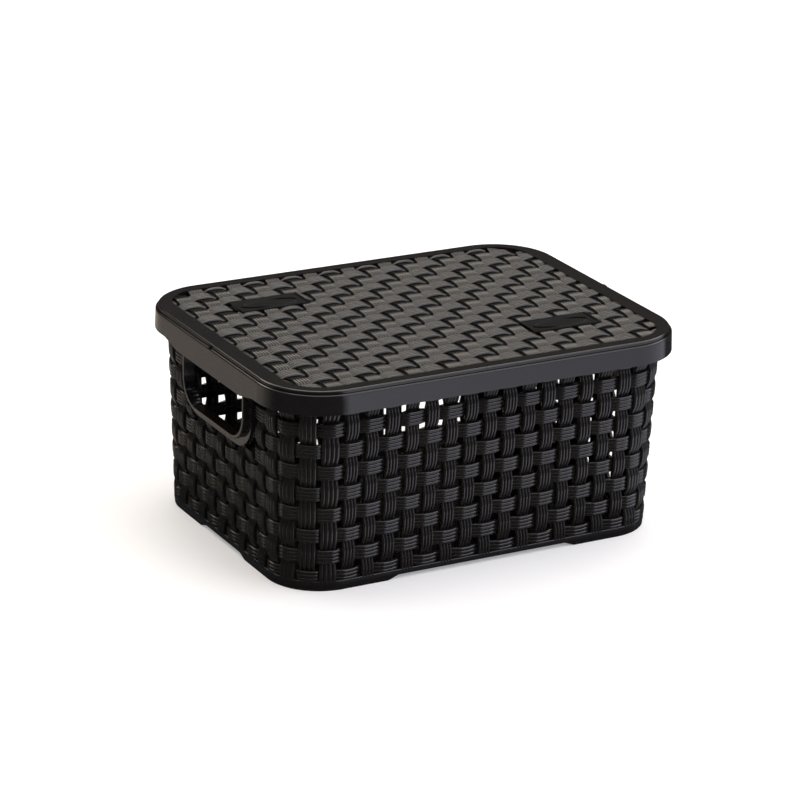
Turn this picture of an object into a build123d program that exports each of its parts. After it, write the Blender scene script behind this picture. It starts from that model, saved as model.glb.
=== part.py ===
"""Lidded storage basket moulded in a basket-weave pattern, with two hand-holds and a lift-off lid.

Millimetres, +Z up, Z = 0 on the floor. The long side runs along X and the hand-holds are in the
short walls, which face -X and +X. The basket and the lid are each one moulding on the real object.
Each moulding is divided here into its named regions, which meet face to face.
"""

from build123d import *
from math import cos, degrees, pi, radians, sin
import os

os.makedirs("parts", exist_ok=True)

# Outer face of the woven wall: half length, half width and corner radius at two heights
BASE_HALF_X = 135.8
BASE_HALF_Y = 100.6
BASE_RADIUS = 35.4
DRAFT_HEIGHT = 121.3
DRAFT_X = 3.4
DRAFT_Y = 4.8
DRAFT_RADIUS = 1.3

# Wall plate that carries the weave, measured inwards from the outer face
PLATE_OUTSET = 1.0
PLATE_INSET = 3.4

# Weave: stakes counted round the whole wall, and the rows that cross them
STAKE_COUNT = 64
STAKE_PITCH = 13.97
SHORT_STAKE_PITCH = 14.4
FLAT_STAKES = 7
SHORT_FLAT_STAKES = 4
CORNER_GAPS = STAKE_COUNT // 4 - FLAT_STAKES - SHORT_FLAT_STAKES
STRAND_WIDTH = 9.3
FIRST_ROW = 7.8
ROW_PITCH = 14.3
GAP_ROWS = 8
GAP_WIDTH = 4.6
GAP_HEIGHT = ROW_PITCH - STRAND_WIDTH
GAP_CUT = 16.0

# Planes that divide the wall into four sides and four corners, each through a stake
SPLIT_X = 98.4
SPLIT_Y = 69.6

# Base: feet, smooth band and floor
FOOT_HEIGHT = 2.7
BAND_TOP = 6.5
BAND_THICKNESS = 3.2
BAND_EDGE_RADIUS = 0.7
FOOT_END_X = 68.0
FOOT_END_Y = 32.0
FOOT_SLOPE = 7.0
FOOT_INSET = 0.4
FLOOR_TOP = 5.2

# Rim: flat flange, a low lip round the lid and a skirt that hangs outside the wall
FLANGE_TOP = 132.8
FLANGE_THICKNESS = 2.5
FLANGE_BOTTOM = FLANGE_TOP - FLANGE_THICKNESS
LIP_TOP = 134.4
LIP_THICKNESS = 1.2
RIM_HALF_X = 146.3
RIM_HALF_Y = 112.2
RIM_RADIUS = 42.0
SKIRT_FLARE = 0.6
SKIRT_THICKNESS = 2.5
SKIRT_BOTTOM = 121.5
GRIP_SKIRT_BOTTOM = 117.8
GRIP_SKIRT_HALF = 46.0
GRIP_SKIRT_SLOPE = 18.0
RIM_EDGE_RADIUS = 1.0

# Hand-hold: opening, raised bead round it and smooth margin outside that
GRIP_HALF = 42.6
GRIP_BOTTOM = 84.8
GRIP_TOP = 119.5
GRIP_RADIUS = 17.0
BEAD_WIDTH = 2.2
BEAD_FACE = 143.2
BEAD_EDGE_RADIUS = 0.8
MARGIN_HALF = 49.4
MARGIN_BOTTOM = 78.4
MARGIN_RADIUS = 22.0
MARGIN_FACE = 139.8
MARGIN_BACK = 135.6

# Lid: smooth border, woven panel, locating rib and centre tabs
LID_BOTTOM = 133.0
LID_TOP = 136.7
LID_GAP_ROUND = 0.4
LID_HALF_X = RIM_HALF_X - LIP_THICKNESS - LID_GAP_ROUND
LID_HALF_Y = RIM_HALF_Y - LIP_THICKNESS - LID_GAP_ROUND
LID_RADIUS = RIM_RADIUS - LIP_THICKNESS - LID_GAP_ROUND
LID_EDGE_RADIUS = 1.0
PANEL_HALF_X = 132.5
PANEL_HALF_Y = 102.0
PANEL_RADIUS = 24.0
PANEL_TOP = 135.0
LID_PITCH = 14.0
LID_GAP = LID_PITCH - STRAND_WIDTH
LID_GAPS_X = 18
LID_GAPS_Y = 14
RIB_HALF_X = 134.2
RIB_HALF_Y = 100.6
RIB_RADIUS = 32.3
RIB_THICKNESS = 2.0
RIB_BOTTOM = 127.4
TAB_WIDTH = 3.0
TAB_FACE = 146.4
TAB_BOTTOM = 134.6
TAB_TOP = 136.0

# Plaques: plain raised plates with an unlettered oval
PLAQUE_LENGTH = 49.4
PLAQUE_DEPTH = 21.6
PLAQUE_BORDER = 1.1
PLAQUE_FACE = 136.5
PLAQUE_TOP = 137.0
OVAL_TOP = 137.0
OVAL_LENGTH = 40.0
OVAL_DEPTH = 13.0
OVAL_WIDTH = 0.9
REAR_PLAQUE = (-74.8, 57.4)
FRONT_PLAQUE = (78.4, -55.2)


def wall_outline(height, inset):
    """Half length, half width and corner radius of the wall at a height, moved in by an inset."""
    share = height / DRAFT_HEIGHT
    half_x = BASE_HALF_X + DRAFT_X * share - inset
    half_y = BASE_HALF_Y + DRAFT_Y * share - inset
    radius = BASE_RADIUS + DRAFT_RADIUS * share - inset
    return half_x, half_y, radius


def stake_place(number, height):
    """Point and outward direction, in degrees, of a stake counted from the middle of the front."""
    half_x, half_y, radius = wall_outline(height, (PLATE_OUTSET + PLATE_INSET) / 2)
    flat_x = half_x - radius
    flat_y = half_y - radius
    arc = radius * pi / 2
    corner_start = FLAT_STAKES * STAKE_PITCH
    corner_end = flat_x + arc + flat_y - SHORT_FLAT_STAKES * SHORT_STAKE_PITCH
    if abs(number) <= FLAT_STAKES:
        along = number * STAKE_PITCH
    elif number <= FLAT_STAKES + CORNER_GAPS:
        share = (number - FLAT_STAKES) / CORNER_GAPS
        along = corner_start + share * (corner_end - corner_start)
    else:
        along = corner_end + (number - FLAT_STAKES - CORNER_GAPS) * SHORT_STAKE_PITCH
    if along <= flat_x:
        return along, -half_y, -90.0
    if along <= flat_x + arc:
        turn = (along - flat_x) / radius
        x = flat_x + radius * sin(turn)
        y = -flat_y - radius * cos(turn)
        return x, y, degrees(turn) - 90.0
    return half_x, -flat_y + (along - flat_x - arc), 0.0


def rounded_sketch(height, half_x, half_y, radius):
    """Rounded rectangle centred on the Z axis at a height."""
    with BuildSketch(Plane.XY.offset(height)) as outline:
        RectangleRounded(2 * half_x, 2 * half_y, radius)
    return outline.sketch


def ring(low, high, outer, thickness):
    """Straight ring between two heights with a rounded rectangle outside."""
    half_x, half_y, radius = outer
    with BuildPart() as band:
        with BuildSketch(Plane.XY.offset(low)):
            RectangleRounded(2 * half_x, 2 * half_y, radius)
            RectangleRounded(
                2 * (half_x - thickness),
                2 * (half_y - thickness),
                radius - thickness,
                mode=Mode.SUBTRACT,
            )
        extrude(amount=high - low)
    return band.part


def wall_shell():
    """Drafted wall plate all the way round, before it is divided and pierced."""
    with BuildPart() as shell:
        add(rounded_sketch(BAND_TOP, *wall_outline(BAND_TOP, PLATE_OUTSET)))
        add(rounded_sketch(FLANGE_BOTTOM, *wall_outline(FLANGE_BOTTOM, PLATE_OUTSET)))
        loft()
        add(rounded_sketch(BAND_TOP, *wall_outline(BAND_TOP, PLATE_INSET)))
        add(rounded_sketch(FLANGE_BOTTOM, *wall_outline(FLANGE_BOTTOM, PLATE_INSET)))
        loft(mode=Mode.SUBTRACT)
    return shell.part


def gap_planes(first, last):
    """Planes at the gaps beside the stakes first to last, on every row, facing outwards."""
    planes = []
    for row in range(GAP_ROWS):
        height = FIRST_ROW + (row + 0.5) * ROW_PITCH
        for stake in range(first, last):
            x, y, direction = stake_place(stake + 0.5, height)
            outwards = (cos(radians(direction)), sin(radians(direction)), 0)
            planes.append(Plane(origin=(x, y, height), x_dir=(0, 0, 1), z_dir=outwards))
    return planes


def mirrored(planes, flip_x, flip_y):
    """The same planes mirrored across the middle of the basket."""
    turned = []
    for plane in planes:
        point = plane.origin
        facing = plane.z_dir
        turned.append(
            Plane(
                origin=(point.X * flip_x, point.Y * flip_y, point.Z),
                x_dir=(0, 0, 1),
                z_dir=(facing.X * flip_x, facing.Y * flip_y, 0),
            )
        )
    return turned


def pierce(planes):
    """Cut one gap of the weave at each plane."""
    with Locations(*planes):
        Box(GAP_HEIGHT, GAP_WIDTH, GAP_CUT, mode=Mode.SUBTRACT)


def grip_sketch(half, low, high, radius):
    """Outline of a hand-hold on the YZ plane: square at the top, rounded below."""
    with BuildSketch(Plane.YZ) as outline:
        with Locations((0, (low + high) / 2)):
            Rectangle(2 * half, high - low)
        fillet(outline.vertices().group_by(Axis.Y)[0], radius)
    return outline.sketch


def export(part, label):
    """Label a finished piece and write it as its own file."""
    part.label = label
    export_step(part, "parts/" + label + ".step")


shell = wall_shell()
WALL_MIDDLE = (BAND_TOP + FLANGE_BOTTOM) / 2
WALL_HEIGHT = FLANGE_BOTTOM - BAND_TOP
BIG = 400

# Long walls: flat pierced plates between the corner stakes
long_gaps = gap_planes(-7, 7)
for side, flip, label in ((-1, 1, "front_wall"), (1, -1, "back_wall")):
    with BuildPart() as long_wall:
        add(shell)
        with Locations((0, side * (SPLIT_Y + BIG / 2), WALL_MIDDLE)):
            Box(2 * SPLIT_X, BIG, WALL_HEIGHT, mode=Mode.INTERSECT)
        pierce(mirrored(long_gaps, 1, flip))
    export(long_wall.part, label)

# Short walls: pierced plates with the room for the hand-hold frame cut out
short_gaps = []
for plane in gap_planes(11, 16):
    beside_grip = abs(plane.origin.Y) < MARGIN_HALF
    if not (beside_grip and plane.origin.Z + GAP_HEIGHT / 2 > MARGIN_BOTTOM):
        short_gaps.append(plane)
short_gaps += mirrored(short_gaps, 1, -1)
for side, label in ((-1, "left_wall"), (1, "right_wall")):
    with BuildPart() as short_wall:
        add(shell)
        with Locations((side * (SPLIT_X + BIG / 2), 0, WALL_MIDDLE)):
            Box(BIG, 2 * SPLIT_Y, WALL_HEIGHT, mode=Mode.INTERSECT)
        add(grip_sketch(MARGIN_HALF, MARGIN_BOTTOM, FLANGE_TOP, MARGIN_RADIUS))
        extrude(amount=BIG, dir=(side, 0, 0), mode=Mode.SUBTRACT)
        pierce(mirrored(short_gaps, side, 1))
    export(short_wall.part, label)

# Corners: curved pierced plates, two stakes at the edges and four gaps between
corner_gaps = gap_planes(7, 11)
corners = (
    (-1, -1, "front_left_corner"),
    (1, -1, "front_right_corner"),
    (-1, 1, "back_left_corner"),
    (1, 1, "back_right_corner"),
)
for side_x, side_y, label in corners:
    with BuildPart() as corner:
        add(shell)
        middle = (side_x * (SPLIT_X + BIG / 2), side_y * (SPLIT_Y + BIG / 2), WALL_MIDDLE)
        with Locations(middle):
            Box(BIG, BIG, WALL_HEIGHT, mode=Mode.INTERSECT)
        pierce(mirrored(corner_gaps, side_x, -side_y))
    export(corner.part, label)

# Base: floor plate inside the band, the band itself and the four corner feet below it
base_outline = wall_outline(0, 0)
with BuildPart() as basket_floor:
    add(rounded_sketch(FOOT_HEIGHT, *[size - BAND_THICKNESS for size in base_outline]))
    extrude(amount=FLOOR_TOP - FOOT_HEIGHT)
export(basket_floor.part, "basket_floor")

with BuildPart() as base_band:
    add(ring(FOOT_HEIGHT, BAND_TOP, base_outline, BAND_THICKNESS))
    faces = base_band.faces().sort_by(Axis.Z)
    outer_edges = faces[0].outer_wire().edges() + faces[-1].outer_wire().edges()
    fillet(outer_edges, BAND_EDGE_RADIUS)
export(base_band.part, "base_band")

with BuildPart() as corner_feet:
    foot_outline = [size - FOOT_INSET for size in base_outline]
    add(ring(0, FOOT_HEIGHT, foot_outline, BAND_THICKNESS - FOOT_INSET))
    for plane, foot_end in ((Plane.XZ, FOOT_END_X), (Plane.YZ, FOOT_END_Y)):
        with BuildSketch(plane):
            with BuildLine():
                Polyline(
                    (-foot_end, 0),
                    (foot_end, 0),
                    (foot_end - FOOT_SLOPE, FOOT_HEIGHT),
                    (-foot_end + FOOT_SLOPE, FOOT_HEIGHT),
                    close=True,
                )
            make_face()
        extrude(amount=BIG, both=True, mode=Mode.SUBTRACT)
export(corner_feet.part, "corner_feet")

# Rim: flange, lip and skirt in one band; the skirt hangs lower over each hand-hold
lid_outline = (LID_HALF_X, LID_HALF_Y, LID_RADIUS)
flare = (RIM_HALF_X + SKIRT_FLARE, RIM_HALF_Y + SKIRT_FLARE, RIM_RADIUS + SKIRT_FLARE)
with BuildPart() as rim_band:
    add(rounded_sketch(GRIP_SKIRT_BOTTOM, *flare))
    add(rounded_sketch(LIP_TOP, RIM_HALF_X, RIM_HALF_Y, RIM_RADIUS))
    loft()
    top_edges = rim_band.faces().sort_by(Axis.Z)[-1].outer_wire().edges()
    fillet(top_edges, RIM_EDGE_RADIUS)
    add(rounded_sketch(GRIP_SKIRT_BOTTOM, *[size - SKIRT_THICKNESS for size in flare]))
    inner_top = [size - SKIRT_THICKNESS for size in (RIM_HALF_X, RIM_HALF_Y, RIM_RADIUS)]
    add(rounded_sketch(FLANGE_BOTTOM, *inner_top))
    loft(mode=Mode.SUBTRACT)
    add(rounded_sketch(FLANGE_BOTTOM, *wall_outline(FLANGE_BOTTOM, PLATE_INSET)))
    extrude(amount=FLANGE_THICKNESS, mode=Mode.SUBTRACT)
    add(rounded_sketch(FLANGE_TOP, *[size + LID_GAP_ROUND for size in lid_outline]))
    extrude(amount=LIP_TOP - FLANGE_TOP, mode=Mode.SUBTRACT)
    for side in (-1, 1):
        slope_end = GRIP_SKIRT_HALF + GRIP_SKIRT_SLOPE
        with BuildSketch(Plane.YZ):
            with BuildLine():
                Polyline(
                    (side * GRIP_SKIRT_HALF, GRIP_SKIRT_BOTTOM),
                    (side * slope_end, SKIRT_BOTTOM),
                    (side * BIG, SKIRT_BOTTOM),
                    (side * BIG, GRIP_SKIRT_BOTTOM),
                    close=True,
                )
            make_face()
        extrude(amount=BIG, both=True, mode=Mode.SUBTRACT)
export(rim_band.part, "rim_band")

# Hand-hold frames: smooth margin plate with a raised bead round the opening
for side, label in ((-1, "left_handle_frame"), (1, "right_handle_frame")):
    with BuildPart() as handle_frame:
        add(grip_sketch(MARGIN_HALF, MARGIN_BOTTOM, FLANGE_BOTTOM, MARGIN_RADIUS))
        extrude(amount=MARGIN_FACE, dir=(1, 0, 0))
        add(
            grip_sketch(
                GRIP_HALF + BEAD_WIDTH,
                GRIP_BOTTOM - BEAD_WIDTH,
                GRIP_TOP + BEAD_WIDTH,
                GRIP_RADIUS + BEAD_WIDTH,
            )
        )
        extrude(amount=BEAD_FACE, dir=(1, 0, 0))
        fillet(handle_frame.faces().sort_by(Axis.X)[-1].outer_wire().edges(), BEAD_EDGE_RADIUS)
        add(grip_sketch(GRIP_HALF, GRIP_BOTTOM, GRIP_TOP, GRIP_RADIUS))
        extrude(amount=BIG, dir=(1, 0, 0), mode=Mode.SUBTRACT)
        with Locations((0, 0, WALL_MIDDLE)):
            Box(2 * MARGIN_BACK, BIG, BIG, mode=Mode.SUBTRACT)
    frame = handle_frame.part
    export(frame if side > 0 else mirror(frame, about=Plane.YZ), label)

# Lid border: flat frame that rests on the rim flange
with BuildPart() as lid_border:
    add(rounded_sketch(LID_BOTTOM, *lid_outline))
    extrude(amount=LID_TOP - LID_BOTTOM)
    fillet(lid_border.faces().sort_by(Axis.Z)[-1].edges(), LID_EDGE_RADIUS)
    add(rounded_sketch(LID_BOTTOM, PANEL_HALF_X, PANEL_HALF_Y, PANEL_RADIUS))
    extrude(amount=LID_TOP - LID_BOTTOM, mode=Mode.SUBTRACT)
export(lid_border.part, "lid_border")

# Woven lid panel: plate with a gap between every pair of crossing strands
with BuildPart() as lid_weave_panel:
    add(rounded_sketch(LID_BOTTOM, PANEL_HALF_X, PANEL_HALF_Y, PANEL_RADIUS))
    extrude(amount=PANEL_TOP - LID_BOTTOM)
    with BuildSketch(Plane.XY.offset(LID_BOTTOM)):
        with GridLocations(LID_PITCH, LID_PITCH, LID_GAPS_X, LID_GAPS_Y):
            Rectangle(LID_GAP, LID_GAP)
    extrude(amount=PANEL_TOP - LID_BOTTOM, mode=Mode.SUBTRACT)
export(lid_weave_panel.part, "lid_weave_panel")

# Locating rib: drops inside the wall and stops the lid sliding
rib_outline = (RIB_HALF_X, RIB_HALF_Y, RIB_RADIUS)
with BuildPart() as lid_locating_rib:
    add(ring(RIB_BOTTOM, LID_BOTTOM, rib_outline, RIB_THICKNESS))
export(lid_locating_rib.part, "lid_locating_rib")

# Centre tabs: a small hook on the lid's edge at the middle of each short side
with BuildPart() as lid_centre_tabs:
    with BuildSketch(Plane.XZ):
        with BuildLine():
            Polyline(
                (LID_HALF_X, TAB_BOTTOM),
                (TAB_FACE, TAB_BOTTOM),
                (TAB_FACE, TAB_TOP - 0.5),
                (TAB_FACE - 0.5, TAB_TOP),
                (LID_HALF_X, TAB_TOP),
                close=True,
            )
        make_face()
    extrude(amount=TAB_WIDTH / 2, both=True)
    mirror(about=Plane.YZ)
export(lid_centre_tabs.part, "lid_centre_tabs")

# Plaques: plain plates on the weave, each with a thin raised border and a thin raised oval
for place, label in ((REAR_PLAQUE, "rear_plaque"), (FRONT_PLAQUE, "front_plaque")):
    with BuildPart() as plaque:
        with BuildSketch(Plane.XY.offset(PANEL_TOP)):
            with Locations(place):
                Rectangle(PLAQUE_LENGTH, PLAQUE_DEPTH)
        extrude(amount=PLAQUE_FACE - PANEL_TOP)
        with BuildSketch(Plane.XY.offset(PLAQUE_FACE)):
            with Locations(place):
                Rectangle(PLAQUE_LENGTH, PLAQUE_DEPTH)
                inner_length = PLAQUE_LENGTH - 2 * PLAQUE_BORDER
                inner_depth = PLAQUE_DEPTH - 2 * PLAQUE_BORDER
                Rectangle(inner_length, inner_depth, mode=Mode.SUBTRACT)
        extrude(amount=PLAQUE_TOP - PLAQUE_FACE)
        with BuildSketch(Plane.XY.offset(PLAQUE_FACE)):
            with Locations(place):
                Ellipse(OVAL_LENGTH / 2, OVAL_DEPTH / 2)
                inner_length = OVAL_LENGTH / 2 - OVAL_WIDTH
                inner_depth = OVAL_DEPTH / 2 - OVAL_WIDTH
                Ellipse(inner_length, inner_depth, mode=Mode.SUBTRACT)
        extrude(amount=OVAL_TOP - PLAQUE_FACE)
    export(plaque.part, label)
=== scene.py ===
"""Looks of a lidded storage basket moulded in a basket-weave pattern.

The walls and the lid panel are rebuilt as interlaced ribbed strands. Each weave is laid out flat, in
strand pitches, and then mapped onto the drafted wall or the flat lid. Lengths are in metres.
"""

import math

import bmesh
import bpy
import numpy as np
from mathutils import Matrix, Vector


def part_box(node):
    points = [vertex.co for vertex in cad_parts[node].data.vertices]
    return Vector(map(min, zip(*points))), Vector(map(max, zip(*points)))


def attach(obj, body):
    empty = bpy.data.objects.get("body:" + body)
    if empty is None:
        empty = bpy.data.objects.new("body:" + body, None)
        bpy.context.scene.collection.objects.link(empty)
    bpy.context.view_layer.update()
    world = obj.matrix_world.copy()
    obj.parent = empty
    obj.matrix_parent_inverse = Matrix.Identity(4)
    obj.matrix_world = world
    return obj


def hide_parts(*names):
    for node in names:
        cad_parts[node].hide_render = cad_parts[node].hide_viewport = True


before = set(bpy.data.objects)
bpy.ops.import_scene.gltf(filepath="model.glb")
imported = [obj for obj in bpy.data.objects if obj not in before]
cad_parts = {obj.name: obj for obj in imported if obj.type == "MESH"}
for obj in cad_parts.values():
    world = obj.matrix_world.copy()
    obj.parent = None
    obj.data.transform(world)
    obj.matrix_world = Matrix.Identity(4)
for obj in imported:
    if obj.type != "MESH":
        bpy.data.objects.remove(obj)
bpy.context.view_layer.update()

MM = 0.001

# Wall weave: stakes run up the wall and rows run round it. Stake 0 is in the middle of the front.
STAKE_COUNT = 64
QUARTER = STAKE_COUNT // 4
FLAT_STAKES = 7
SHORT_FLAT_STAKES = 4
CORNER_GAPS = QUARTER - FLAT_STAKES - SHORT_FLAT_STAKES
STAKE_PITCH = 13.97 * MM
SHORT_STAKE_PITCH = 14.65 * MM
STAKE_WIDTH = 8.8 * MM
CORNER_STAKE_WIDTH = 10.9 * MM
ROW_COUNT = 9
FIRST_ROW = 8.5 * MM
ROW_PITCH = 14.2 * MM
ROW_WIDTH = 9.4 * MM
WALL_CORDS = 4
WALL_CORNER_RADIUS = 35.4 * MM
CORNER_RADIUS_GAIN = 1.3 * MM
GAIN_HEIGHT = 121.3 * MM
WALL_OUTSET = 1.0 * MM
WEAVE_DEPTH = 2.1 * MM
STAKE_FOOT = 1.0 * MM

# Lid weave: long strips along X cross short strips along Y
COLUMN_PITCH = 14.1 * MM
LINE_PITCH = 14.25 * MM
LINES = range(-7, 8)
COLUMNS = range(-10, 10)
LINE_SHIFT = 4.9 * MM
COLUMN_SHIFT = 5.0 * MM
LONG_STRIP_WIDTH = 10.0 * MM
LONG_STRIP_CORDS = 4
CROSS_STRIP_WIDTH = 10.2 * MM
CROSS_STRIP_CORDS = 5
LID_WEAVE_HEIGHT = 134.45 * MM
PANEL_CORNER_RADIUS = 24.0 * MM
BORDER_OVERLAP = 2.5 * MM

# Strand section: round cords side by side on a flat back with bevelled edges. RIDGE_DEPTH is the
# depth of the grooves between cords, and FUSE_DEPTH how far the back reaches under the weave's middle.
STRAND_THICKNESS = 1.5 * MM
STRAND_RISE = 1.3 * MM
FUSE_DEPTH = 2.1 * MM
RIDGE_DEPTH = 0.85 * MM
EDGE_DROP = 0.25 * MM
BACK_BEVEL = 0.35 * MM
BACK_PLACES = (0.97, 0.9, 0.0, -0.9, -0.97)
CREST_FLATNESS = 0.5

# How far the stakes of the front and of the left side are off their even places, in pitches
DRIFT_STAKES = (-7, 7, 12, 44, 52)
DRIFT = (0.065, 0.065, 0.0, -0.19, -0.19)

# Hand-hold margin, where the wall weave stops: GRIP_STAKES stakes each side of its middle one are cut
MARGIN_HALF = 49.4 * MM
MARGIN_BOTTOM = 78.4 * MM
MARGIN_OVERLAP = 0.5 * MM
ROW_END_OVERLAP = 0.05
GRIP_STAKES = 3

# Fineness of the strand meshes
STEPS_PER_PITCH = 12
STEPS_PER_CORD = 6
CREASE_ANGLE = 50


# ---------------------------------------------------------------- surfaces

base_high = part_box("base_band")[1]
wall_low, wall_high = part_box("front_wall")
side_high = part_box("right_wall")[1]
panel_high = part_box("lid_weave_panel")[1]
WALL_TOP = wall_high.z
BASE_HALF_X = base_high.x
BASE_HALF_Y = base_high.y
DRAFT_X = (side_high.x + WALL_OUTSET - BASE_HALF_X) / WALL_TOP
DRAFT_Y = (-wall_low.y + WALL_OUTSET - BASE_HALF_Y) / WALL_TOP
DRAFT_RADIUS = CORNER_RADIUS_GAIN / GAIN_HEIGHT


def fold(stake):
    """Place of a stake in the first quarter of the wall, counted from the nearer long side's middle."""
    return abs((stake + QUARTER) % (2 * QUARTER) - QUARTER)


def wall_surface(stake, height, outward):
    """Points on the wall: stake number from the middle of the front, height, and distance outwards
    from the mid-surface of the weave. Works on whole arrays."""
    stake, height, outward = np.broadcast_arrays(stake, height, outward)
    stake = stake + np.interp(stake, DRIFT_STAKES, DRIFT, period=STAKE_COUNT)
    half_x = BASE_HALF_X + DRAFT_X * height - WEAVE_DEPTH
    half_y = BASE_HALF_Y + DRAFT_Y * height - WEAVE_DEPTH
    radius = WALL_CORNER_RADIUS + DRAFT_RADIUS * height - WEAVE_DEPTH
    flat_x = half_x - radius
    flat_y = half_y - radius
    arc = radius * math.pi / 2
    side = stake % STAKE_COUNT
    # fold into the first quarter, then mirror the result back out
    turned = np.where(side > 2 * QUARTER, STAKE_COUNT - side, side)
    folded = np.where(turned > QUARTER, 2 * QUARTER - turned, turned)
    corner_start = FLAT_STAKES * STAKE_PITCH
    corner_end = flat_x + arc + flat_y - SHORT_FLAT_STAKES * SHORT_STAKE_PITCH
    corner_share = (folded - FLAT_STAKES) / CORNER_GAPS
    along = np.where(
        folded < FLAT_STAKES,
        folded * STAKE_PITCH,
        corner_start + corner_share * (corner_end - corner_start),
    )
    on_short_side = folded > QUARTER - SHORT_FLAT_STAKES
    from_end = (QUARTER - folded - SHORT_FLAT_STAKES) * SHORT_STAKE_PITCH
    along = np.where(on_short_side, corner_end - from_end, along)
    turn = np.clip((along - flat_x) / radius, 0, math.pi / 2)
    straight_x = np.minimum(along, flat_x)
    straight_y = np.maximum(along - flat_x - arc, 0)
    normal_x = np.sin(turn)
    normal_y = -np.cos(turn)
    x = straight_x + (radius + outward) * normal_x
    y = -flat_y + straight_y + (radius + outward) * normal_y
    sign_x = np.where(side > 2 * QUARTER, -1.0, 1.0)
    sign_y = np.where(turned > QUARTER, -1.0, 1.0)
    return np.stack([x * sign_x, y * sign_y, height], axis=-1)


def lid_surface(column, row, upward):
    """Points on the lid: column and line numbers, and height over the mid-surface of the weave. What
    would run on under the border is cut off there."""
    column, row, upward = np.broadcast_arrays(column, row, upward)
    limit_x = panel_high.x + BORDER_OVERLAP
    limit_y = panel_high.y + BORDER_OVERLAP
    x = np.clip(COLUMN_SHIFT + column * COLUMN_PITCH, -limit_x, limit_x)
    y = np.clip(LINE_SHIFT + row * LINE_PITCH, -limit_y, limit_y)
    return np.stack([x, y, LID_WEAVE_HEIGHT + upward], axis=-1)


# ---------------------------------------------------------------- strands

def wave(phase):
    """Height of a strand from -1 to 1: over at even phases, under at odd ones."""
    swing = np.cos(math.pi * phase)
    return swing * (1 + CREST_FLATNESS - CREST_FLATNESS * swing * swing)


def strand_section(cords, rise):
    """Closed section of a strand of round cords side by side: places across it from -1 to 1, and
    heights at the given rise. Its back is flat and fused to the strands that it crosses."""
    turn = np.arange(cords * STEPS_PER_CORD + 1) / STEPS_PER_CORD
    cord = np.minimum(np.floor(turn), cords - 1)
    angle = (turn - cord) * math.pi
    across = (2 * cord + 1 - np.cos(angle)) / cords - 1
    top = STRAND_THICKNESS / 2 - RIDGE_DEPTH * (1 - np.sin(angle)) - EDGE_DROP * across ** 4
    back = np.minimum(rise - STRAND_THICKNESS / 2, -FUSE_DEPTH)
    places = np.concatenate([across, BACK_PLACES])
    top_heights = rise[:, None] + top[None, :]
    edge = (back + BACK_BEVEL)[:, None]
    floor = back[:, None]
    heights = np.concatenate([top_heights, edge, floor, floor, floor, edge], axis=1)
    return places, heights


def grid_mesh(name, grids, closed):
    """One mesh from several grids of points, each grid a run of closed sections."""
    vertices = []
    faces = []
    start = 0
    for grid in grids:
        count, ring = grid.shape[:2]
        vertices.append(grid.reshape(-1, 3))
        index = start + np.arange(count * ring).reshape(count, ring)
        following = np.roll(index, -1, axis=1)
        if closed:
            below, above = index, np.roll(index, -1, axis=0)
            below_next, above_next = following, np.roll(following, -1, axis=0)
        else:
            below, above = index[:-1], index[1:]
            below_next, above_next = following[:-1], following[1:]
        quads = np.stack([below, below_next, above_next, above], axis=-1).reshape(-1, 4)
        faces.extend(map(tuple, quads.tolist()))
        if not closed:
            faces.append(tuple(index[0][::-1].tolist()))
            faces.append(tuple(index[-1].tolist()))
        start += count * ring
    mesh = bpy.data.meshes.new(name)
    mesh.from_pydata(np.concatenate(vertices).tolist(), [], faces)
    mesh.validate()
    shell = bmesh.new()
    shell.from_mesh(mesh)
    bmesh.ops.recalc_face_normals(shell, faces=shell.faces)
    shell.to_mesh(mesh)
    shell.free()
    mesh.shade_smooth()
    mesh.set_sharp_from_angle(angle=math.radians(CREASE_ANGLE))
    piece = bpy.data.objects.new(name, mesh)
    bpy.context.scene.collection.objects.link(piece)
    return piece


def stake_grid(stake, low, high):
    """One stake of the wall between two heights."""
    rows_low = (low - FIRST_ROW) / ROW_PITCH
    rows_high = (high - FIRST_ROW) / ROW_PITCH
    steps = max(2, int(round((rows_high - rows_low) * STEPS_PER_PITCH)))
    row = np.linspace(rows_low, rows_high, steps + 1)
    height = FIRST_ROW + row * ROW_PITCH
    rise = STRAND_RISE * wave(row + stake)
    places, heights = strand_section(WALL_CORDS, rise)
    on_corner = FLAT_STAKES < fold(stake) < QUARTER - SHORT_FLAT_STAKES
    width = CORNER_STAKE_WIDTH if on_corner else STAKE_WIDTH
    number = stake + places[None, :] * width / 2 / local_pitch(stake, height)[:, None]
    return wall_surface(number, height[:, None], heights)


def local_pitch(stake, height):
    """Distance between stakes along the mid-surface of the wall beside a stake, at each height."""
    left = wall_surface(stake - 0.5, height, 0.0)
    right = wall_surface(stake + 0.5, height, 0.0)
    return np.linalg.norm(right - left, axis=-1)


def row_grid(row, first, last):
    """One row of the wall between two stake numbers."""
    steps = int(round((last - first) * STEPS_PER_PITCH))
    stake = np.linspace(first, last, steps + 1)
    rise = -STRAND_RISE * wave(stake + row)
    places, heights = strand_section(WALL_CORDS, rise)
    height = FIRST_ROW + row * ROW_PITCH + places[None, :] * ROW_WIDTH / 2
    return wall_surface(stake[:, None], height, heights)


# ---------------------------------------------------------------- weave pieces

def stake_reach(stake):
    """Lowest and highest point of a stake: one under a hand-hold ends at the hand-hold's margin."""
    low = base_high.z - STAKE_FOOT
    if QUARTER - fold(stake) <= GRIP_STAKES:
        return low, MARGIN_BOTTOM + MARGIN_OVERLAP
    return low, WALL_TOP


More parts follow.
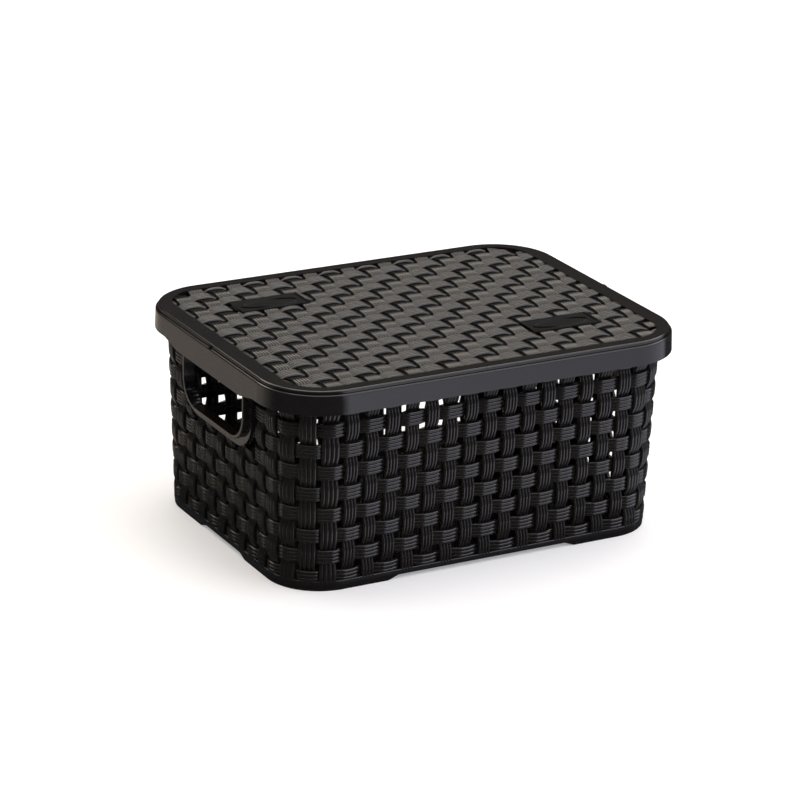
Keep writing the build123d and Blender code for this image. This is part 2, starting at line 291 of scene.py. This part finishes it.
# Each side or corner of the wall: its CAD node, first stake and last stake
WALL_NODES = {
    "front": ("front_wall", -7, 7),
    "front_right": ("front_right_corner", 8, 11),
    "right": ("right_wall", 12, 20),
    "back_right": ("back_right_corner", 21, 24),
    "back": ("back_wall", 25, 39),
    "back_left": ("back_left_corner", 40, 43),
    "left": ("left_wall", 44, 52),
    "front_left": ("front_left_corner", 53, 56),
}


def build_wall():
    """Stakes in one piece per side or corner, and each row round the wall in a piece of its own."""
    pieces = []
    for side, (node, first, last) in WALL_NODES.items():
        grids = [stake_grid(stake, *stake_reach(stake)) for stake in range(first, last + 1)]
        stakes = grid_mesh("stakes_" + side, grids, closed=False)
        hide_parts(node)
        pieces.append(stakes)
    for row in range(ROW_COUNT):
        height = FIRST_ROW + row * ROW_PITCH
        name = "row_" + str(row + 1)
        if height + ROW_WIDTH / 2 < MARGIN_BOTTOM:
            ring = row_grid(row, 0, STAKE_COUNT)[:-1]
            pieces.append(grid_mesh(name, [ring], closed=True))
        else:
            reach = MARGIN_HALF / SHORT_STAKE_PITCH - ROW_END_OVERLAP
            front = row_grid(row, -QUARTER + reach, QUARTER - reach)
            back = row_grid(row, QUARTER + reach, 3 * QUARTER - reach)
            pieces.append(grid_mesh(name, [front, back], closed=False))
    for piece in pieces:
        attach(piece, "basket")
    return pieces


def panel_reach(place, half_along, half_across, radius):
    """How far a strip of the lid reaches along itself before it meets the border."""
    over = abs(place) - (half_across - radius)
    if over <= 0:
        return half_along
    if over >= radius:
        return half_along - radius
    return half_along - radius + math.sqrt(radius ** 2 - over ** 2)


def lid_strip(number, reach, lengthwise):
    """One strip of the lid, along X if lengthwise and along Y if not, up to its reach each way."""
    if lengthwise:
        cords, width = LONG_STRIP_CORDS, LONG_STRIP_WIDTH
        pitch, crossing_pitch, shift = LINE_PITCH, COLUMN_PITCH, COLUMN_SHIFT
    else:
        cords, width = CROSS_STRIP_CORDS, CROSS_STRIP_WIDTH
        pitch, crossing_pitch, shift = COLUMN_PITCH, LINE_PITCH, LINE_SHIFT
    steps = int(2 * reach / crossing_pitch * STEPS_PER_PITCH)
    along = (np.linspace(-reach, reach, steps + 1) - shift) / crossing_pitch
    rise = STRAND_RISE * wave(along + number) * (1 if lengthwise else -1)
    places, heights = strand_section(cords, rise)
    across = number + places[None, :] * width / 2 / pitch
    if lengthwise:
        return lid_surface(along[:, None], across, heights)
    return lid_surface(across, along[:, None], heights)


def build_lid_weave():
    """Long strips along X and cross strips along Y, in a front and a rear or a left and a right set."""
    grids = {"lid_long_strips_front": [], "lid_long_strips_rear": []}
    grids.update({"lid_cross_strips_left": [], "lid_cross_strips_right": []})
    for line in LINES:
        place = LINE_SHIFT + line * LINE_PITCH
        reach = panel_reach(place, panel_high.x, panel_high.y, PANEL_CORNER_RADIUS)
        strip = lid_strip(line, reach + BORDER_OVERLAP, lengthwise=True)
        grids["lid_long_strips_front" if line < 0 else "lid_long_strips_rear"].append(strip)
    for column in COLUMNS:
        place = COLUMN_SHIFT + column * COLUMN_PITCH
        reach = panel_reach(place, panel_high.y, panel_high.x, PANEL_CORNER_RADIUS)
        strip = lid_strip(column, reach + BORDER_OVERLAP, lengthwise=False)
        grids["lid_cross_strips_left" if column < 0 else "lid_cross_strips_right"].append(strip)
    pieces = [grid_mesh(name, strips, closed=False) for name, strips in grids.items()]
    for piece in pieces:
        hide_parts("lid_weave_panel")
        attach(piece, "lid")
    return pieces


# ---------------------------------------------------------------- materials

# Broad clouds vary colour and gloss, and a fine grain roughens the surface
CLOUD_SCALE = 45
CLOUD_DETAIL = 3
CLOUD_TINT = (1.35, 1.25, 1.15)
GLOSS_SPREAD = 0.02
GRAIN_SCALE = 1800
GRAIN_DETAIL = 2
GRAIN_DEPTH = 0.05 * MM
GRAIN_STRENGTH = 0.03
PLASTIC_IOR = 1.5


def plastic(name, color, roughness):
    """Dark moulded plastic with a fine grain and slightly uneven colour and gloss."""
    material = bpy.data.materials.new(name)
    material.use_nodes = True
    nodes = material.node_tree.nodes
    links = material.node_tree.links
    shader = nodes["Principled BSDF"]
    shader.inputs["IOR"].default_value = PLASTIC_IOR
    place = nodes.new("ShaderNodeTexCoord")
    cloud = nodes.new("ShaderNodeTexNoise")
    cloud.inputs["Scale"].default_value = CLOUD_SCALE
    cloud.inputs["Detail"].default_value = CLOUD_DETAIL
    links.new(place.outputs["Object"], cloud.inputs["Vector"])
    tint = nodes.new("ShaderNodeMix")
    tint.data_type = "RGBA"
    cloudy = [part * gain for part, gain in zip(color, CLOUD_TINT)]
    tint.inputs["A"].default_value = (*color, 1)
    tint.inputs["B"].default_value = (*cloudy, 1)
    links.new(cloud.outputs["Fac"], tint.inputs["Factor"])
    links.new(tint.outputs["Result"], shader.inputs["Base Color"])
    gloss = nodes.new("ShaderNodeMapRange")
    gloss.inputs["To Min"].default_value = roughness - GLOSS_SPREAD
    gloss.inputs["To Max"].default_value = roughness + GLOSS_SPREAD
    links.new(cloud.outputs["Fac"], gloss.inputs["Value"])
    links.new(gloss.outputs["Result"], shader.inputs["Roughness"])
    grain = nodes.new("ShaderNodeTexNoise")
    grain.inputs["Scale"].default_value = GRAIN_SCALE
    grain.inputs["Detail"].default_value = GRAIN_DETAIL
    links.new(place.outputs["Object"], grain.inputs["Vector"])
    bump = nodes.new("ShaderNodeBump")
    bump.inputs["Strength"].default_value = GRAIN_STRENGTH
    bump.inputs["Distance"].default_value = GRAIN_DEPTH
    links.new(grain.outputs["Fac"], bump.inputs["Height"])
    links.new(bump.outputs["Normal"], shader.inputs["Normal"])
    return material


def paint(piece, material):
    """Give a piece one material all over."""
    piece.data.materials.clear()
    piece.data.materials.append(material)


# ---------------------------------------------------------------- stage

# Radiance of the parts of the studio. On the right a panel has a cool foot with a bright front edge,
# a muted middle and a strong upper part. A warm panel is low on the left, and a strong strip is high
# at the back. BACKDROP is what the camera sees directly.
COOL = (1.02, 1.05, 1.2)
BRIGHT = (1.45, 1.5, 1.7)
MUTED = (0.40, 0.41, 0.47)
KEY = (2.9, 3.0, 3.4)
WARM = (0.56, 0.49, 0.43)
BACK = (4.4, 4.1, 3.7)
OVERHEAD = (0.92, 0.84, 0.78)
SHADE = (0.07, 0.066, 0.062)
DIM = (0.05, 0.05, 0.06)
BACKDROP = 1.1

# Where one ring of the studio blends into the next, as the upward part of a direction
HORIZON = (-0.28, -0.16)
KEY_FOOT = (0.22, 0.32)
BACK_FOOT = (0.505, 0.54)
OVERHEAD_FOOT = (0.64, 0.74)

# Floor: paper that glows a little, and a painted shadow round the basket, a dark area that only
# reflections show
FLOOR_RADIUS = 12
PAPER_COLOR = (0.8, 0.8, 0.8)
PAPER_ROUGHNESS = 0.9
FLOOR_GLOW = 0.3
PAINTED_SHADOW_SHIFT = (0.02, 0, 0)
PAINTED_SHADOW_REACH = 0.06

# Softbox over the basket
SOFTBOX_PLACE = (0.15, 0.15, 1.5)
SOFTBOX_AIM = (0, 0, 0.12)
SOFTBOX_SIZE = 1.3
SOFTBOX_POWER = 10
SOFTBOX_COLOR = (1.0, 0.985, 0.97)

# Camera: to the left of the front and above, a little tilted, with a long lens
CAMERA_AZIMUTH = -28.8
CAMERA_ELEVATION = 20.26
CAMERA_ROLL = 1.39
CAMERA_DISTANCE = 2.2993
CAMERA_TARGET = Vector((4.57, 22.46, 68.41)) * MM
SENSOR_WIDTH = 36
LENS = 156.85


def math_node(nodes, links, operation, *values):
    """Math node fed with numbers or sockets."""
    node = nodes.new("ShaderNodeMath")
    node.operation = operation
    for socket, value in zip(node.inputs, values):
        if isinstance(value, (int, float)):
            socket.default_value = value
        else:
            links.new(value, socket)
    return node.outputs[0]


def vector_node(nodes, links, operation, first, second=None):
    """Vector math node fed with a socket and, if it takes one, a constant vector."""
    node = nodes.new("ShaderNodeVectorMath")
    node.operation = operation
    links.new(first, node.inputs[0])
    if second is not None:
        node.inputs[1].default_value = second
    return node.outputs["Value"] if operation == "LENGTH" else node.outputs[0]


def mix_shaders(nodes, links, factor, first, second):
    """Mix of two shaders, the second one where the factor is 1."""
    mix = nodes.new("ShaderNodeMixShader")
    links.new(factor, mix.inputs[0])
    links.new(first, mix.inputs[1])
    links.new(second, mix.inputs[2])
    return mix.outputs[0]


def color_ramp(nodes, links, factor, stops):
    """Colour ramp with (place, colour) stops."""
    ramp = nodes.new("ShaderNodeValToRGB")
    links.new(factor, ramp.inputs["Fac"])
    elements = ramp.color_ramp.elements
    for place, color in stops[1:-1]:
        elements.new(place).color = (*color, 1)
    elements[0].position, elements[0].color = stops[0][0], (*stops[0][1], 1)
    elements[-1].position, elements[-1].color = stops[-1][0], (*stops[-1][1], 1)
    return ramp.outputs["Color"]


def height_blend(nodes, links, height, limits, below, above):
    """One colour below the limits and another above them, blended in between."""
    lift = nodes.new("ShaderNodeMapRange")
    lift.interpolation_type = "SMOOTHSTEP"
    lift.inputs["From Min"].default_value = limits[0]
    lift.inputs["From Max"].default_value = limits[1]
    links.new(height, lift.inputs["Value"])
    blend = nodes.new("ShaderNodeMix")
    blend.data_type = "RGBA"
    links.new(lift.outputs["Result"], blend.inputs["Factor"])
    links.new(below, blend.inputs["A"])
    if isinstance(above, tuple):
        blend.inputs["B"].default_value = (*above, 1)
    else:
        links.new(above, blend.inputs["B"])
    return blend.outputs["Result"]


def around(degrees):
    """Place on a colour ramp of a direction counted from the front, positive towards the right."""
    return (degrees + 180) / 360


def build_studio():
    """Walls of the studio: dark at the camera's side, a cool panel on the right, a warm one low on
    the left, a bright one high at the back, and plain white where the camera looks."""
    scene = bpy.context.scene
    world = bpy.data.worlds.new("studio")
    scene.world = world
    world.use_nodes = True
    nodes = world.node_tree.nodes
    links = world.node_tree.links
    direction = nodes.new("ShaderNodeTexCoord").outputs["Generated"]
    parts = nodes.new("ShaderNodeSeparateXYZ")
    links.new(direction, parts.inputs[0])
    backwards = math_node(nodes, links, "MULTIPLY", parts.outputs["Y"], -1.0)
    angle = math_node(nodes, links, "ARCTAN2", parts.outputs["X"], backwards)
    turn = math_node(nodes, links, "MULTIPLY_ADD", angle, 1 / (2 * math.pi), 0.5)
    low = color_ramp(nodes, links, turn, [
        (0.0, WARM),
        (around(-134), WARM),
        (around(-108), DIM),
        (around(15), DIM),
        (around(22), BRIGHT),
        (around(26), BRIGHT),
        (around(32), COOL),
        (around(85), COOL),
        (around(98), DIM),
        (around(135), DIM),
        (around(148), WARM),
        (1.0, WARM),
    ])
    middle = color_ramp(nodes, links, turn, [
        (0.0, SHADE),
        (around(-90), SHADE),
        (around(8), DIM),
        (around(24), MUTED),
        (around(80), MUTED),
        (around(100), SHADE),
        (1.0, SHADE),
    ])
    upper = color_ramp(nodes, links, turn, [
        (0.0, SHADE),
        (around(-90), SHADE),
        (around(8), DIM),
        (around(24), KEY),
        (around(90), KEY),
        (around(105), SHADE),
        (1.0, SHADE),
    ])
    high = color_ramp(nodes, links, turn, [
        (0.0, BACK),
        (around(-145), BACK),
        (around(-115), SHADE),
        (around(8), DIM),
        (around(24), KEY),
        (around(90), KEY),
        (around(105), SHADE),
        (around(125), BACK),
        (1.0, BACK),
    ])
    upwards = parts.outputs["Z"]
    blend = height_blend(nodes, links, upwards, HORIZON, low, middle)
    blend = height_blend(nodes, links, upwards, KEY_FOOT, blend, upper)
    blend = height_blend(nodes, links, upwards, BACK_FOOT, blend, high)
    blend = height_blend(nodes, links, upwards, OVERHEAD_FOOT, blend, OVERHEAD)
    walls = nodes["Background"]
    links.new(blend, walls.inputs["Color"])
    seen = nodes.new("ShaderNodeBackground")
    seen.inputs["Color"].default_value = (1, 1, 1, 1)
    seen.inputs["Strength"].default_value = BACKDROP
    by_camera = nodes.new("ShaderNodeLightPath").outputs["Is Camera Ray"]
    surface = mix_shaders(nodes, links, by_camera, walls.outputs[0], seen.outputs[0])
    links.new(surface, nodes["World Output"].inputs["Surface"])


def build_floor():
    """Pale paper floor. In reflections it shows only a painted shadow round the basket, dark near the
    foot.
    """
    bpy.ops.mesh.primitive_circle_add(vertices=96, radius=FLOOR_RADIUS, fill_type="NGON")
    floor = bpy.context.object
    floor.name = "floor"
    material = bpy.data.materials.new("floor_paper")
    material.use_nodes = True
    nodes = material.node_tree.nodes
    links = material.node_tree.links
    paper = nodes["Principled BSDF"]
    paper.inputs["Base Color"].default_value = (*PAPER_COLOR, 1)
    paper.inputs["Roughness"].default_value = PAPER_ROUGHNESS
    paper.inputs["Specular IOR Level"].default_value = 0.0
    paper.inputs["Emission Color"].default_value = (1, 1, 1, 1)
    paper.inputs["Emission Strength"].default_value = FLOOR_GLOW
    # distance of a point of the floor from the foot of the basket
    place = nodes.new("ShaderNodeTexCoord").outputs["Object"]
    shifted = vector_node(nodes, links, "ADD", place, PAINTED_SHADOW_SHIFT)
    mirrored = vector_node(nodes, links, "ABSOLUTE", shifted)
    beyond = vector_node(nodes, links, "SUBTRACT", mirrored, (base_high.x, base_high.y, 0))
    outside = vector_node(nodes, links, "MAXIMUM", beyond, (0, 0, 0))
    distance = vector_node(nodes, links, "LENGTH", outside)
    # fade of the painted shadow: full at the foot of the basket, gone at its reach
    shade = nodes.new("ShaderNodeMapRange")
    shade.interpolation_type = "SMOOTHSTEP"
    shade.inputs["From Min"].default_value = 0.0
    shade.inputs["From Max"].default_value = PAINTED_SHADOW_REACH
    shade.inputs["To Min"].default_value = 1.0
    shade.inputs["To Max"].default_value = 0.0
    links.new(distance, shade.inputs["Value"])
    clear = nodes.new("ShaderNodeBsdfTransparent").outputs[0]
    # painted shadow: dark emission, seen only by reflections, standing in for the floor's shadow near
    # the basket
    painted_shadow_emission = nodes.new("ShaderNodeEmission")
    painted_shadow_emission.inputs["Color"].default_value = (*DIM, 1)
    painted_shadow = mix_shaders(nodes, links, shade.outputs["Result"], clear, painted_shadow_emission.outputs[0])
    reflected = nodes.new("ShaderNodeLightPath").outputs["Is Glossy Ray"]
    surface = mix_shaders(nodes, links, reflected, paper.outputs[0], painted_shadow)
    links.new(surface, nodes["Material Output"].inputs["Surface"])
    paint(floor, material)


def build_light():
    """One large softbox overhead, a little to the back."""
    light = bpy.data.lights.new("top_softbox", "AREA")
    light.size = SOFTBOX_SIZE
    light.energy = SOFTBOX_POWER
    light.color = SOFTBOX_COLOR
    lamp = bpy.data.objects.new("top_softbox", light)
    lamp.location = SOFTBOX_PLACE
    beam = Vector(SOFTBOX_AIM) - Vector(SOFTBOX_PLACE)
    lamp.rotation_euler = beam.to_track_quat("-Z", "Y").to_euler()
    bpy.context.scene.collection.objects.link(lamp)


def build_camera():
    """Camera looking at the near corner from the left of the front and above."""
    azimuth = math.radians(CAMERA_AZIMUTH)
    elevation = math.radians(CAMERA_ELEVATION)
    roll = math.radians(CAMERA_ROLL)
    away = Vector((
        math.sin(azimuth) * math.cos(elevation),
        -math.cos(azimuth) * math.cos(elevation),
        math.sin(elevation),
    ))
    level = Vector((0, 0, 1)).cross(away).normalized()
    upright = away.cross(level)
    right = level * math.cos(roll) + upright * math.sin(roll)
    up = upright * math.cos(roll) - level * math.sin(roll)
    camera_data = bpy.data.cameras.new("camera")
    camera_data.sensor_width = SENSOR_WIDTH
    camera_data.lens = LENS
    camera_data.clip_start = 0.05
    camera_data.clip_end = 60
    camera = bpy.data.objects.new("camera", camera_data)
    turn = Matrix((right, up, away)).transposed().to_4x4()
    camera.matrix_world = Matrix.Translation(CAMERA_TARGET + away * CAMERA_DISTANCE) @ turn
    bpy.context.scene.collection.objects.link(camera)
    bpy.context.scene.camera = camera


# ---------------------------------------------------------------- assembly

woven = plastic("woven_plastic", (0.009, 0.0082, 0.0078), 0.09)
smooth = plastic("smooth_plastic", (0.007, 0.0065, 0.0064), 0.12)

for piece in build_wall() + build_lid_weave():
    paint(piece, woven)

for node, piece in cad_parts.items():
    paint(piece, smooth)

build_studio()
build_floor()
build_light()
build_camera()

view = bpy.context.scene.view_settings
view.view_transform = "Standard"
view.look = "None"
